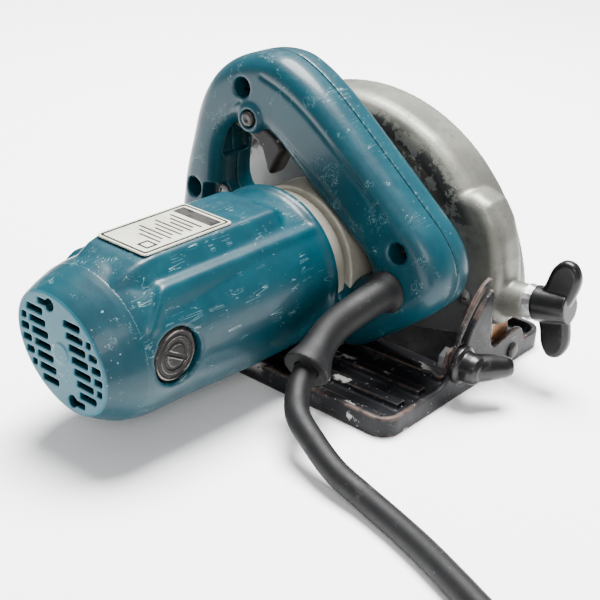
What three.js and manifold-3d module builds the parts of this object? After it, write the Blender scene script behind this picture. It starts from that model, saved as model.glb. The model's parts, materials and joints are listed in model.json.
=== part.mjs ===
// Portable circular saw with an overhead D handle, a side motor and a tray-shaped base.
// Millimetres. +X is the cutting direction, +Y is the motor side, +Z is up.
// The origin is on the sole, straight under the blade's axis and 53 mm to the motor side of the blade.

import * as THREE from 'three';
import { mergeVertices } from 'three/addons/utils/BufferGeometryUtils.js';
import Module from 'manifold-3d';

const wasm = await Module();
wasm.setup();

// ---------------------------------------------------------------- driving dimensions

const GAP = 0.3;                                   // clearance between touching pieces

const BASE = { x0: -94, x1: 118, y0: -85, y1: 45, floor: 3, rim: 9.5, wall: 2.6, corner: 9 };
const SLOT = { x0: -87, x1: 92, y0: -68, y1: -26 };  // blade opening in the base
const BEVEL = { y: -55, z: 7, radius: 50, rest: 13.5, travel: 45, half: 3, bolt: 2.5 };
const PIVOT = { x: 100, z: 12, pin: 3.5 };         // depth hinge at the front of the base
const GUIDE = { radius: 188, thick: 2.2, y0: -57, y1: -42.5, z0: 10.8, z1: 80, slot: [31, 74] };
const WING = { x: -101, y: -48, z: 38, lean: 0.19 };  // depth clamp bolt, leaning up to the rear

const ARBOR = { x: 0, z: 21, r: 8 };
const BLADE = { radius: 82.5, root: 77, y0: -54.5, y1: -52.7, teeth: 40 };
const GUARD = { r: 84.8, wall: 1.3, y0: -62, y1: -45, from: 172, to: 354, hub: 16 };
const CASE = { r: 92, wall: 3, y0: -66, y1: -38.5 };

const MOTOR = { x: -7, z: 45, y0: 20, y1: 132, end: 145 };
const GEARS = { module: 0.75, pinion: 12, idlerBig: 32, idlerSmall: 14, driven: 35 };
const BRUSH = { y: 115, z: 46.5, r: 11.5, x: -37.5 };

const HANDLE = { y0: -24, y1: 8, seam: -8, round: 8 };
const BUTTON = { x: 22, z: 105, r: 3.6 };
const TRIGGER = { x: 38, z: 97, y0: -14.6, y1: -1.4 };

const CORD = { r: 5.25, coil: [-242, 191], mean: 57.5 };

// ---------------------------------------------------------------- colours

const TEAL = 0x0b6470;
const BLACK = 0x1a1c20;
const GREY = 0x9a9a92;
const CREAM = 0xcdc8b4;
const STEEL = 0x8d9196;
const RUST = 0x9a7658;
const RUBBER = 0x45484a;
const BROWN = 0x6a565b;
const BRASS = 0xb08d45;

// ---------------------------------------------------------------- solids

function toSolid(geometry) {
  const bare = geometry.index ? geometry.toNonIndexed() : geometry.clone();
  bare.deleteAttribute('normal');
  bare.deleteAttribute('uv');
  const merged = mergeVertices(bare, 1e-4);
  const vertProperties = new Float32Array(merged.attributes.position.array);
  const triVerts = new Uint32Array(merged.index.array);
  if (signedVolume(vertProperties, triVerts) < 0) {
    for (let i = 0; i < triVerts.length; i += 3) {
      [triVerts[i + 1], triVerts[i + 2]] = [triVerts[i + 2], triVerts[i + 1]];
    }
  }
  return new wasm.Manifold(new wasm.Mesh({ numProp: 3, vertProperties, triVerts }));
}

function signedVolume(v, t) {
  const a = new THREE.Vector3();
  const b = new THREE.Vector3();
  const c = new THREE.Vector3();
  let sum = 0;
  for (let i = 0; i < t.length; i += 3) {
    a.fromArray(v, 3 * t[i]);
    b.fromArray(v, 3 * t[i + 1]);
    c.fromArray(v, 3 * t[i + 2]);
    sum += a.dot(b.cross(c));
  }
  return sum;
}

function toGeometry(solid) {
  const mesh = solid.getMesh();
  const geometry = new THREE.BufferGeometry();
  const position = new Float32Array(mesh.vertProperties);
  geometry.setAttribute('position', new THREE.BufferAttribute(position, 3));
  geometry.setIndex(new THREE.BufferAttribute(new Uint32Array(mesh.triVerts), 1));
  geometry.computeVertexNormals();
  return geometry;
}

const union = (...parts) => parts.reduce((a, b) => a.add(b));
const cut = (a, ...tools) => tools.reduce((s, t) => s.subtract(t), a);

function box(x0, x1, y0, y1, z0, z1) {
  const g = new THREE.BoxGeometry(x1 - x0, y1 - y0, z1 - z0);
  g.translate((x0 + x1) / 2, (y0 + y1) / 2, (z0 + z1) / 2);
  return toSolid(g);
}

// A cylinder or cone between two points.
function rod(p0, p1, r0, r1 = r0, sides = 16) {
  const a = new THREE.Vector3(...p0);
  const b = new THREE.Vector3(...p1);
  const g = new THREE.CylinderGeometry(r1, r0, a.distanceTo(b), sides);
  g.translate(0, a.distanceTo(b) / 2, 0);
  const turn = new THREE.Quaternion();
  turn.setFromUnitVectors(new THREE.Vector3(0, 1, 0), b.clone().sub(a).normalize());
  g.applyQuaternion(turn);
  g.translate(a.x, a.y, a.z);
  return toSolid(g);
}

const rodY = (x, z, y0, y1, r, sides = 20) => rod([x, y0, z], [x, y1, z], r, r, sides);
const rodX = (y, z, x0, x1, r, sides = 16) => rod([x0, y, z], [x1, y, z], r, r, sides);

function outline(points) {
  return new THREE.Shape(points.map(([u, v]) => new THREE.Vector2(u, v)));
}

// Outline in X and Z, pushed from y0 to y1.
function alongY(shape, y0, y1, options = {}) {
  const g = new THREE.ExtrudeGeometry(shape, { depth: y1 - y0, bevelEnabled: false, ...options });
  g.rotateX(Math.PI / 2);
  g.translate(0, y1, 0);
  return toSolid(g);
}

// Outline in Y and Z, pushed from x0 to x1.
function alongX(shape, x0, x1, options = {}) {
  const g = new THREE.ExtrudeGeometry(shape, { depth: x1 - x0, bevelEnabled: false, ...options });
  const basis = new THREE.Matrix4().makeBasis(
    new THREE.Vector3(0, 1, 0), new THREE.Vector3(0, 0, 1), new THREE.Vector3(1, 0, 0));
  g.applyMatrix4(basis);
  g.translate(x0, 0, 0);
  return toSolid(g);
}

// Outline in X and Y, pushed from z0 to z1.
function alongZ(shape, z0, z1) {
  const g = new THREE.ExtrudeGeometry(shape, {
    depth: z1 - z0, bevelEnabled: false, curveSegments: 4 });
  g.translate(0, 0, z0);
  return toSolid(g);
}

// Profile of [radius, y] turned about an axis along Y through (x, z).
function turnedY(profile, x, z, sides = 36) {
  const points = profile.map(([r, y]) => new THREE.Vector2(r, y));
  points.push(points[0].clone());
  const g = new THREE.LatheGeometry(points, sides);
  g.translate(x, 0, z);
  return toSolid(g);
}

function tubeAlong(curve, radius, steps, sides = 10) {
  const section = new THREE.Shape();
  section.absarc(0, 0, radius, 0, 2 * Math.PI);
  const g = new THREE.ExtrudeGeometry(section, {
    steps, extrudePath: curve, curveSegments: Math.round(sides / 2), bevelEnabled: false,
  });
  return toSolid(g);
}

// Part of a ring about (x, z), from one angle to another in degrees, pushed along Y.
function sectorY(x, z, r0, r1, from, to, y0, y1, segments = 40) {
  const shape = new THREE.Shape();
  const a0 = THREE.MathUtils.degToRad(from);
  const a1 = THREE.MathUtils.degToRad(to);
  shape.absarc(x, z, r1, a0, a1, false);
  shape.absarc(x, z, r0, a1, a0, true);
  shape.closePath();
  return alongY(shape, y0, y1, { curveSegments: segments });
}

const polar = (x, z, r, degrees) => [
  x + r * Math.cos(THREE.MathUtils.degToRad(degrees)),
  z + r * Math.sin(THREE.MathUtils.degToRad(degrees)),
];

// ---------------------------------------------------------------- scene graph

const group = new THREE.Group();

function add(name, solid, color, roughness, metalness) {
  const material = new THREE.MeshStandardMaterial({ color, roughness, metalness });
  const mesh = new THREE.Mesh(toGeometry(solid), material);
  mesh.name = name;
  group.add(mesh);
}

// Keeps the biggest of the pieces that a cut leaves behind.
function biggest(solid) {
  const pieces = solid.decompose();
  return pieces.reduce((a, b) => (a.volume() > b.volume() ? a : b));
}

// Outline of a straight-sided gear, with one tooth centred on the given angle in degrees.
function gearShape(x, z, teeth, module, firstTooth) {
  const pitch = teeth * module / 2;
  const step = 360 / teeth;
  const points = [];
  for (let i = 0; i < teeth; i += 1) {
    const centre = firstTooth + i * step;
    points.push(polar(x, z, pitch - 1.2 * module, centre - 0.34 * step));
    points.push(polar(x, z, pitch + 0.8 * module, centre - 0.11 * step));
    points.push(polar(x, z, pitch + 0.8 * module, centre + 0.11 * step));
    points.push(polar(x, z, pitch - 1.2 * module, centre + 0.34 * step));
  }
  return outline(points);
}

// ---------------------------------------------------------------- base

function roundedRect(x0, x1, y0, y1, r) {
  const s = new THREE.Shape();
  s.moveTo(x0 + r, y0);
  s.absarc(x1 - r, y0 + r, r, -Math.PI / 2, 0, false);
  s.absarc(x1 - r, y1 - r, r, 0, Math.PI / 2, false);
  s.absarc(x0 + r, y1 - r, r, Math.PI / 2, Math.PI, false);
  s.absarc(x0 + r, y0 + r, r, Math.PI, 1.5 * Math.PI, false);
  return s;
}

// Arc slot for a bolt, in Y and Z about the bevel axis.
function arcSlot(radius, half, from, to, steps = 12) {
  const inner = [];
  const outer = [];
  for (let i = 0; i <= steps; i += 1) {
    const angle = from + (to - from) * i / steps;
    inner.push(polar(BEVEL.y, BEVEL.z, radius - half, angle));
    outer.push(polar(BEVEL.y, BEVEL.z, radius + half, angle));
  }
  return outline([...inner, ...outer.reverse()]);
}

const quadrant = alongX(outline([
  [BEVEL.y, BASE.floor], [12, BASE.floor], [8, 10], [-1, 11], [-3, 23], [-6, 32], [-11, 40],
  [-17, 48], [-23, 53], [-28, 54], [-31, 44], [-37, 15], [BEVEL.y - 6, 15], [BEVEL.y - 8, 9]]),
  BASE.x0, BASE.x0 + BASE.wall);
const rivetHole = (x0, x1) => rodX(BEVEL.y, BEVEL.z, x0, x1, 2.3, 16);

function rib(y) {
  const run = [[-86, y - 5], [100, y], [100, y + 10], [-86, y + 5]];
  return alongZ(outline(run), BASE.floor - 0.5, BASE.floor + 2);
}

const tray = cut(
  union(
    cut(
      alongZ(roundedRect(BASE.x0, BASE.x1, BASE.y0, BASE.y1, BASE.corner), 0, BASE.rim),
      alongZ(roundedRect(BASE.x0 + BASE.wall, BASE.x1 - BASE.wall, BASE.y0 + BASE.wall,
        BASE.y1 - BASE.wall, BASE.corner - BASE.wall), BASE.floor, BASE.rim + 1)),
    ...[14, 30].map(rib)),
  alongZ(roundedRect(SLOT.x0, SLOT.x1, SLOT.y0, SLOT.y1, 4), -1, BASE.floor + 3));
const bevelSlot = alongX(
  arcSlot(BEVEL.radius, BEVEL.half, BEVEL.rest - 4, BEVEL.rest + BEVEL.travel + 4), -96, -90);
add('base_plate', cut(union(tray, quadrant), bevelSlot, rivetHole(-96, -90)), BLACK, 0.55, 0.4);

const FRONT = { x0: 112.4, x1: 115 };
add('front_bracket', cut(
  alongX(outline([[-63, 3.3], [-34, 3.3], [-38, 12], [-46, 16], [-60, 16], [-63, 12]]),
    FRONT.x0, FRONT.x1),
  rivetHole(112, 116)), BLACK, 0.5, 0.5);
add('rear_pivot_rivet', union(
  rodX(BEVEL.y, BEVEL.z, -96, -89.6, 2, 16),
  rodX(BEVEL.y, BEVEL.z, -96, BASE.x0 - GAP, 4, 16)), STEEL, 0.45, 0.8);
add('front_pivot_rivet', rodX(BEVEL.y, BEVEL.z, 107.5, 115, 2, 16), STEEL, 0.45, 0.8);

// ---------------------------------------------------------------- tilting frame

const BOLT = polar(BEVEL.y, BEVEL.z, BEVEL.radius, BEVEL.rest);
const eye = (x0, x1) => rodX(BEVEL.y, BEVEL.z, x0, x1, 3.6, 20);
const guideX = (z, offset = 0) => (
  PIVOT.x - Math.sqrt((GUIDE.radius + offset) ** 2 - (z - PIVOT.z) ** 2));

// Curved strip about the depth hinge, between two radial offsets.
function guideBand(offset0, offset1, z0, z1, y0, y1, steps = 10) {
  const near = [];
  const far = [];
  for (let i = 0; i <= steps; i += 1) {
    const z = z0 + (z1 - z0) * i / steps;
    near.push([guideX(z, offset0), z]);
    far.push([guideX(z, offset1), z]);
  }
  return alongY(outline([...near, ...far.reverse()]), y0, y1);
}

const half = GUIDE.thick / 2;
add('rear_tilt_plate', cut(
  union(
    eye(-91.1, -89.5),
    alongX(outline([
      [BEVEL.y, 3.6], [BOLT[0] + 2, 9], [BOLT[0] + 6, 16], [BOLT[0] + 4, 24],
      [BOLT[0] - 4, 25], [-40, 17], [BEVEL.y, 10.4]]), -91.1, -89.5)),
  rivetHole(-92, -88),
  rodX(...BOLT, -92, -88, BEVEL.bolt + GAP, 16)), BLACK, 0.5, 0.6);
add('depth_guide', cut(
  guideBand(-half, half, GUIDE.z0, GUIDE.z1, GUIDE.y0, GUIDE.y1),
  box(-95, -70, WING.y - 3.6, WING.y + 3.6, ...GUIDE.slot)), RUST, 0.6, 0.7);
add('rear_bevel_bolt', union(
  rodX(...BOLT, -100, -86.6, BEVEL.bolt, 16),
  rodX(...BOLT, -89.2, -86.6, 5.5, 6)), STEEL, 0.4, 0.9);

const ear = (y0, y1) => alongY(outline([
  [110, 6], [110, 19], [98, 19], [94, 16], [94, 8], [98, 6]]), y0, y1);
add('front_yoke', cut(
  union(
    eye(109.5, 112.1),
    alongX(outline([[BEVEL.y, 4], [-26, 6], [-26, 19], [-52, 19], [BEVEL.y, 10]]), 109.5, 112.1),
    ear(-51.5, -49.1), ear(-30.9, -28.5)),
  rodY(PIVOT.x, PIVOT.z, -60, -20, PIVOT.pin + GAP),
  rivetHole(108, 113)), BLACK, 0.5, 0.6);
add('depth_pivot_pin', union(
  rodY(PIVOT.x, PIVOT.z, -53.5, -27, PIVOT.pin),
  rodY(PIVOT.x, PIVOT.z, -53.5, -51.8, 5)), STEEL, 0.4, 0.9);

add('rear_bevel_knob', cut(
  union(
    rodX(...BOLT, -97.6, -94.3, 9, 24),
    rod([-97.6, ...BOLT], [-120, ...BOLT], 7, 6, 14),
    rod([-120, ...BOLT], [-122, ...BOLT], 6, 4, 14)),
  rodX(...BOLT, -101, -94, BEVEL.bolt + GAP, 16)), BLACK, 0.35, 0.1);

// ---------------------------------------------------------------- blade case

const caseDisc = turnedY([
  [0, CASE.y0], [CASE.r, CASE.y0], [CASE.r, -47], [90, -42], [86, -39.4], [80, CASE.y1],
  [0, CASE.y1]], ARBOR.x, ARBOR.z, 48);
const caseHollow = turnedY([
  [0, -63.5], [89, -63.5], [89, -46], [85, -41.5], [0, -41.5]], ARBOR.x, ARBOR.z, 48);
const belowCase = alongY(outline([
  [-130, -90], [130, -90], [130, 13], [50, 11], [-38, 10], [-50, 8], [-75, 14], [-86, 23],
  [-130, 23]]), -70, -30);
const chute = alongY(outline([
  [-55, 88], [-72, 86], [-79, 82], [-83, 75], [-87, 67], [-90.5, 58], [-92.5, 49], [-93.5, 40],
  [-93.5, 27], [-91, 24], [-83, 24], [-78, 60]]), -60, CASE.y1);
const frontLug = alongY(outline([
  [80, 50], [92, 30], [103, 18.5], [106.5, 12], [104, 6.5], [96, 6.2], [88, 11], [80, 20]]),
  -48.8, -31.2);
const guidePath = union(
  guideBand(-half - 0.5, half + 0.5, -20, 84, GUIDE.y0 - 0.5, GUIDE.y1 + 0.5));
const clampAt = (along) => [WING.x - along, WING.y, WING.z + WING.lean * along];
const clampBoss = rod(clampAt(-12), clampAt(2.1), 8.6, 7.8, 20);
const caseShell = cut(
  union(caseDisc, chute, clampBoss, frontLug),
  caseHollow,
  rodY(ARBOR.x, ARBOR.z, -67, -63, 72, 48),
  rodY(ARBOR.x, ARBOR.z, -42, -38, GUARD.hub + GAP, 32),
  belowCase,
  guidePath,
  rod(clampAt(-20), clampAt(5), 3.3, 3.3, 16),
  rodY(PIVOT.x, PIVOT.z, -60, -20, PIVOT.pin + GAP));
add('blade_case', biggest(caseShell), GREY, 0.45, 0.6);

add('case_screw', rodY(-74, 34, CASE.y1 + GAP, -35.6, 4.2, 12), STEEL, 0.4, 0.8);
add('clamp_bolt', rod(clampAt(-15), clampAt(14), 3, 3, 16), STEEL, 0.4, 0.9);
add('clamp_collar', cut(
  rod(clampAt(2.4), clampAt(5.4), 8.5, 7.5, 20),
  rod(clampAt(-2), clampAt(6), 3.3, 3.3, 16)), STEEL, 0.5, 0.8);

const wing = (points) => alongY(outline(points), WING.y - 2.4, WING.y + 2.4);
add('wing_knob', cut(
  union(
    rod(clampAt(5.8), clampAt(22), 8.4, 7.2, 20),
    wing([[-107, 36], [-112, 52], [-114, 60], [-121, 61], [-124, 54], [-121, 40]]),
    wing([[-108, 40], [-112, 26], [-115, 21], [-121, 22], [-122, 30], [-121, 42]])),
  rod(clampAt(0), clampAt(14.4), 3.3, 3.3, 16)), BLACK, 0.3, 0.1);

// ---------------------------------------------------------------- gear housing

// Round ends of the gear housing joined by their tangents, grown by a margin.
function gearBody(margin, y0, y1) {
  const reach = (r) => r + margin;
  const bridge = outline([
    polar(0, 21, reach(27), 13), polar(-7, 45, reach(25), 13),
    polar(-7, 45, reach(25), 199), polar(0, 21, reach(27), 199)]);
  return union(
    rodY(0, 21, y0, y1, reach(27), 36),
    rodY(-7, 45, y0, y1, reach(25), 36),
    alongY(bridge, y0, y1));
}

const lug = alongY(outline([
  [-10, 18], [-36, 12], [-43, 18], [-44, 36], [-38, 42], [-10, 46]]), 0, 9);
const pitch = (teeth) => GEARS.module * teeth / 2;

// The middle shaft sits where both gear pairs are at their centre distances.
const firstPair = pitch(GEARS.pinion) + pitch(GEARS.idlerBig);
const secondPair = pitch(GEARS.idlerSmall) + pitch(GEARS.driven);
const span = Math.hypot(MOTOR.x - ARBOR.x, MOTOR.z - ARBOR.z);
const along = (secondPair ** 2 - firstPair ** 2 + span ** 2) / (2 * span);
const aside = Math.sqrt(secondPair ** 2 - along ** 2);
const ux = (MOTOR.x - ARBOR.x) / span;
const uz = (MOTOR.z - ARBOR.z) / span;
const IDLER = { x: ARBOR.x + ux * along + uz * aside, z: ARBOR.z + uz * along - ux * aside };

const gearCavity = union(
  rodY(ARBOR.x, ARBOR.z, -24, -13.5, pitch(GEARS.driven) + 1.4, 28),
  rodY(IDLER.x, IDLER.z, -24, -4, pitch(GEARS.idlerBig) + 1.4, 28),
  rodY(MOTOR.x, MOTOR.z, -13.7, -4, pitch(GEARS.pinion) + 1.4, 20));
add('gear_housing', cut(
  union(
    cut(gearBody(0, -38.2, 9), box(-60, 60, -40, 12, -20, 4.2)),
    rodY(ARBOR.x, ARBOR.z, -44, -38, GUARD.hub, 32),
    turnedY([[0, 8.4], [35, 8.4], [37.5, 11], [37.5, 19.7], [0, 19.7]], MOTOR.x, MOTOR.z, 48),
    lug),
  gearCavity,
  rodY(ARBOR.x, ARBOR.z, -50, -20, ARBOR.r + GAP),
  rodY(ARBOR.x, ARBOR.z, -14, -5.7, ARBOR.r - 3 + GAP),
  rodY(IDLER.x, IDLER.z, -29, 0.3, 3.3, 16),
  rodY(MOTOR.x, MOTOR.z, -10, 21, 4.3),
  rodY(MOTOR.x, MOTOR.z, 11, 21, 11.3)), CREAM, 0.5, 0.3);

// ---------------------------------------------------------------- motor

const bodyProfile = [
  [0, MOTOR.y0], [38.4, MOTOR.y0], [38.4, 23.5], [36.6, 26], [36.6, 60], [35, 100], [33.5, 124],
  [31.5, 130], [29.5, MOTOR.y1], [0, MOTOR.y1]];
const sidePod = (mirror) => {
  const x = (v) => MOTOR.x + mirror * (v - MOTOR.x);
  return alongY(outline([
    [x(-15), 70], [x(-30), 66], [x(-36), 61], [x(-37), 50], [x(-36.5), 34], [x(-33), 27],
    [x(-15), 18]]), 38, 128);
};
const brushX = (mirror, v) => MOTOR.x + mirror * (v - MOTOR.x);
const brushHole = (mirror) => rod(
  [brushX(mirror, -45), BRUSH.y, BRUSH.z], [brushX(mirror, -25), BRUSH.y, BRUSH.z],
  BRUSH.r + GAP, BRUSH.r + GAP, 28);
const brushBore = (mirror) => rod(
  [brushX(mirror, -30), BRUSH.y, BRUSH.z], [MOTOR.x, BRUSH.y, BRUSH.z], 5, 5, 16);
const motorCavity = turnedY([
  [0, 22], [33.5, 22], [33.5, 60], [30, 100], [29, 121], [0, 121]], MOTOR.x, MOTOR.z, 40);
add('motor_housing', biggest(cut(
  union(
    turnedY(bodyProfile, MOTOR.x, MOTOR.z, 36), sidePod(1), sidePod(-1),
    alongY(outline([[-25, 74], [12, 74], [10, 82.4], [-21, 82.4]]), 44, 118)),
  motorCavity,
  box(-60, 60, 27, 150, -20, 12),
  brushHole(1), brushHole(-1), brushBore(1), brushBore(-1),
  rodY(MOTOR.x, MOTOR.z, 19, 24, 33.5, 40),
  rodY(MOTOR.x, MOTOR.z, 120, 131, 9.3),
  rodY(MOTOR.x, MOTOR.z, 130, 133, 4.3))), TEAL, 0.45, 0);

const coverSlots = [];
for (const side of [-1, 1]) {
  for (let row = 0; row < 5; row += 1) {
    const z = 45 + 4.8 * (row - 2);
    const x = (u) => MOTOR.x + side * u + 0.3 * (z - 45);
    coverSlots.push(box(Math.min(x(8), x(20)), Math.max(x(8), x(20)), 131, 146, z - 1.2, z + 1.2));
  }
}
add('vent_cover', cut(
  turnedY([[0, 132.3], [31, 132.3], [30.5, 138], [28, 142.5], [24, MOTOR.end], [0, MOTOR.end]],
    MOTOR.x, MOTOR.z, 48),
  turnedY([[0, 131], [27, 131], [26, 141], [0, 141]], MOTOR.x, MOTOR.z, 36),
  ...coverSlots), TEAL, 0.45, 0);

add('rating_label', alongZ(outline([[-21, 65], [7, 65], [7, 115], [-21, 115]]), 82.7, 83.2),
  0xe0dcca, 0.6, 0);
for (const [end, mirror] of [['rear', 1], ['front', -1]]) {
  const at = (v) => [brushX(mirror, v), BRUSH.y, BRUSH.z];
  add(`brush_cap_${end}`, rod(at(-28.5), at(BRUSH.x - 1.5), BRUSH.r, BRUSH.r - 0.8, 28),
    BROWN, 0.5, 0);
  add(`carbon_brush_${end}`, rod(at(-24.6), at(-17.8), 3.2, 3.2, 8), BLACK, 0.7, 0.1);
}
add('stator', cut(rodY(MOTOR.x, MOTOR.z, 45, 92, 29, 36), rodY(MOTOR.x, MOTOR.z, 44, 93, 20, 30)),
  STEEL, 0.6, 0.6);
for (const [end, y0, y1, outer] of [['front', 12, 19, 11], ['rear', 122, 129, 9]]) {
  add(`bearing_${end}`, cut(rodY(MOTOR.x, MOTOR.z, y0, y1, outer),
    rodY(MOTOR.x, MOTOR.z, y0 - 1, y1 + 1, 4.3)), STEEL, 0.3, 0.9);
}

// Turning parts of the motor.
const bearingOf = (from, to) => THREE.MathUtils.radToDeg(Math.atan2(to.z - from.z, to.x - from.x));
const gear = (at, teeth, firstTooth, y0, y1) => alongY(
  gearShape(at.x, at.z, teeth, GEARS.module, firstTooth), y0, y1);
const idlerToMotor = bearingOf(IDLER, MOTOR);
const idlerToArbor = bearingOf(IDLER, ARBOR);
add('armature_shaft', union(
  rodY(MOTOR.x, MOTOR.z, -4.5, 131, 4, 16),
  gear(MOTOR, GEARS.pinion, idlerToMotor + 180 + 180 / GEARS.pinion, -12.6, -4.4)),
  STEEL, 0.3, 0.9);
add('idler_shaft', union(
  rodY(IDLER.x, IDLER.z, -28.5, 0, 3, 16),
  gear(IDLER, GEARS.idlerBig, idlerToMotor, -12.4, -4.6),
  gear(IDLER, GEARS.idlerSmall, idlerToArbor + 180 / GEARS.idlerSmall, -23.6, -12)),
  STEEL, 0.3, 0.9);
const onShaft = (solid) => cut(solid, rodY(MOTOR.x, MOTOR.z, 0, 140, 4.3, 20));
add('armature_core', onShaft(rodY(MOTOR.x, MOTOR.z, 42, 95, 19, 30)), STEEL, 0.5, 0.7);
add('commutator', onShaft(rodY(MOTOR.x, MOTOR.z, 105, 120, 9.7, 24)), BRASS, 0.4, 0.9);
const fanBlades = [];
for (let i = 0; i < 8; i += 1) {
  const a = i * Math.PI / 4;
  const tip = [MOTOR.x + 30 * Math.cos(a), MOTOR.z + 30 * Math.sin(a)];
  const root = [MOTOR.x + 6 * Math.cos(a), MOTOR.z + 6 * Math.sin(a)];
  const nx = -Math.sin(a) * 0.9;
  const nz = Math.cos(a) * 0.9;
  fanBlades.push(alongY(outline([
    [root[0] - nx, root[1] - nz], [tip[0] - nx, tip[1] - nz],
    [tip[0] + nx, tip[1] + nz], [root[0] + nx, root[1] + nz]]), 27, 35));
}
add('cooling_fan', onShaft(union(
  rodY(MOTOR.x, MOTOR.z, 25, 27.5, 30, 32), rodY(MOTOR.x, MOTOR.z, 25, 37, 8), ...fanBlades)),
  BLACK, 0.5, 0);

// ---------------------------------------------------------------- turning group on the arbor

const toothed = [];
for (let i = 0; i < BLADE.teeth; i += 1) {
  const step = 360 / BLADE.teeth;
  toothed.push(polar(ARBOR.x, ARBOR.z, BLADE.root, i * step));
  toothed.push(polar(ARBOR.x, ARBOR.z, BLADE.radius, i * step + 0.62 * step));
  toothed.push(polar(ARBOR.x, ARBOR.z, BLADE.radius - 0.6, i * step + 0.86 * step));
}
add('saw_blade', cut(alongY(outline(toothed), BLADE.y0, BLADE.y1),
  rodY(ARBOR.x, ARBOR.z, -60, -50, ARBOR.r + GAP)), STEEL, 0.35, 0.9);
add('inner_flange', cut(rodY(ARBOR.x, ARBOR.z, -52.4, -48, 22, 32),
  rodY(ARBOR.x, ARBOR.z, -54, -46, ARBOR.r + GAP)), STEEL, 0.4, 0.9);
add('outer_flange', cut(rodY(ARBOR.x, ARBOR.z, -58, -54.8, 20, 32),
  rodY(ARBOR.x, ARBOR.z, -60, -54, 4.3)), STEEL, 0.4, 0.9);
add('blade_bolt', union(rodY(ARBOR.x, ARBOR.z, -62.8, -58.3, 7.5, 6),
  rodY(ARBOR.x, ARBOR.z, -59, -44, 4)), STEEL, 0.4, 0.9);
add('arbor_shaft', cut(
  union(rodY(ARBOR.x, ARBOR.z, -54.4, -23, ARBOR.r), rodY(ARBOR.x, ARBOR.z, -24, -6, ARBOR.r - 3)),
  rodY(ARBOR.x, ARBOR.z, -55, -43, 4.3)), STEEL, 0.4, 0.9);
add('driven_gear', cut(
  gear(ARBOR, GEARS.driven, idlerToArbor + 180, -22.6, -14.5),
  rodY(ARBOR.x, ARBOR.z, -23, -13, ARBOR.r - 3 + GAP)), STEEL, 0.4, 0.9);

// ---------------------------------------------------------------- lower guard

const guardArc = (r0, r1, y0, y1) => sectorY(
  ARBOR.x, ARBOR.z, r0, r1, GUARD.from, GUARD.to, y0, y1, 20);
const leverAt = polar(ARBOR.x, ARBOR.z, 64, 165);
add('lower_guard', cut(
  union(
    guardArc(GUARD.r - GUARD.wall, GUARD.r, GUARD.y0, GUARD.y1),
    guardArc(24, GUARD.r, GUARD.y1 - 1.5, GUARD.y1),
    guardArc(75, GUARD.r, GUARD.y0, GUARD.y0 + 1.5),
    sectorY(ARBOR.x, ARBOR.z, 58, GUARD.r, 160, 174, GUARD.y0, GUARD.y0 + 1.5, 6),
    rodY(...leverAt, -77, GUARD.y0 + 1.5, 4.2, 16),
    rodY(ARBOR.x, ARBOR.z, GUARD.y1 - 1.5, -44, 25, 32)),
  rodY(ARBOR.x, ARBOR.z, -70, -40, GUARD.hub + GAP, 32)), STEEL, 0.4, 0.8);

// ---------------------------------------------------------------- handle

const handleOutline = [
  [68, 44], [67, 67], [62, 87], [59, 101], [55, 111], [49, 120], [41, 127], [31, 132], [20, 135.5],
  [9, 135.5], [-1, 131.5], [-11, 126], [-22, 119], [-41, 104], [-64, 86], [-77, 75], [-84, 66],
  [-87, 57], [-86, 47], [-81, 40], [-70, 29], [-54, 16], [-42, 9], [-20, 9], [-20, 40], [-38, 44],
  [-50, 50], [-44, 57], [-20, 73], [0, 88], [4, 92], [16, 98], [25, 100], [32, 99], [38, 95],
  [41, 87], [42, 76], [41, 68], [34, 60], [12, 58], [10, 34], [50, 30], [62, 35]];
const handleBody = cut(
  alongY(outline(handleOutline), HANDLE.y0 + HANDLE.round, HANDLE.y1 - HANDLE.round, {
    bevelEnabled: true, bevelSize: HANDLE.round, bevelThickness: HANDLE.round,
    bevelOffset: -HANDLE.round, bevelSegments: 3 }),
  gearBody(GAP, -40, 12),
  alongY(outline([[-10, 17], [-36, 11.5], [-43.5, 17.5], [-44.5, 36.2], [-38.2, 42.5], [-10, 46.5]]),
    -0.4, 9),
  cut(
    alongY(outline([[4, 108], [4, 84], [46, 84], [48, 100], [44, 112], [30, 116]]), -17, 1),
    box(40, 60, -20, 4, 80, 92)),
  rodY(BUTTON.x, BUTTON.z, 0, 10, BUTTON.r + GAP, 20));
const screws = { top: [28, 119], front: [56, 62], rear: [-65, 66] };
const screwHoles = Object.values(screws).map(([x, z]) => rodY(x, z, 1, 10, 4.8, 20));
const holed = cut(handleBody, ...screwHoles, rodY(44.5, 58, -2, 10, 6, 20));
add('handle_left', biggest(cut(holed, box(-120, 120, -60, HANDLE.seam + 0.15, -20, 160))),
  TEAL, 0.45, 0);
add('handle_right', biggest(cut(holed, box(-120, 120, HANDLE.seam - 0.15, 60, -20, 160))),
  TEAL, 0.45, 0);
for (const [end, [x, z]] of Object.entries(screws)) {
  add(`handle_screw_${end}`, rodY(x, z, 1.3, 4.2, 4.4, 16), STEEL, 0.4, 0.8);
}
add('pocket_screw', rodY(44.5, 58, -1.7, 3, 5.4, 16), STEEL, 0.4, 0.8);
add('switch_body', box(12, 34, -15, -1.4, 103.4, 109), BLACK, 0.6, 0);
add('trigger', alongY(outline([
  [TRIGGER.x + 3, 98.6], [TRIGGER.x - 16, 100], [16, 97.5], [9, 92], [12.5, 85], [16, 77],
  [19, 75.5], [20.5, 81], [27, 86.5], [34, 89], [TRIGGER.x + 2, 93.5]]),
  TRIGGER.y0, TRIGGER.y1), BROWN, 0.45, 0);
add('lock_button', rodY(BUTTON.x, BUTTON.z, 1.4, 9.6, BUTTON.r, 20), BLACK, 0.45, 0);

// ---------------------------------------------------------------- cord

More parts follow.
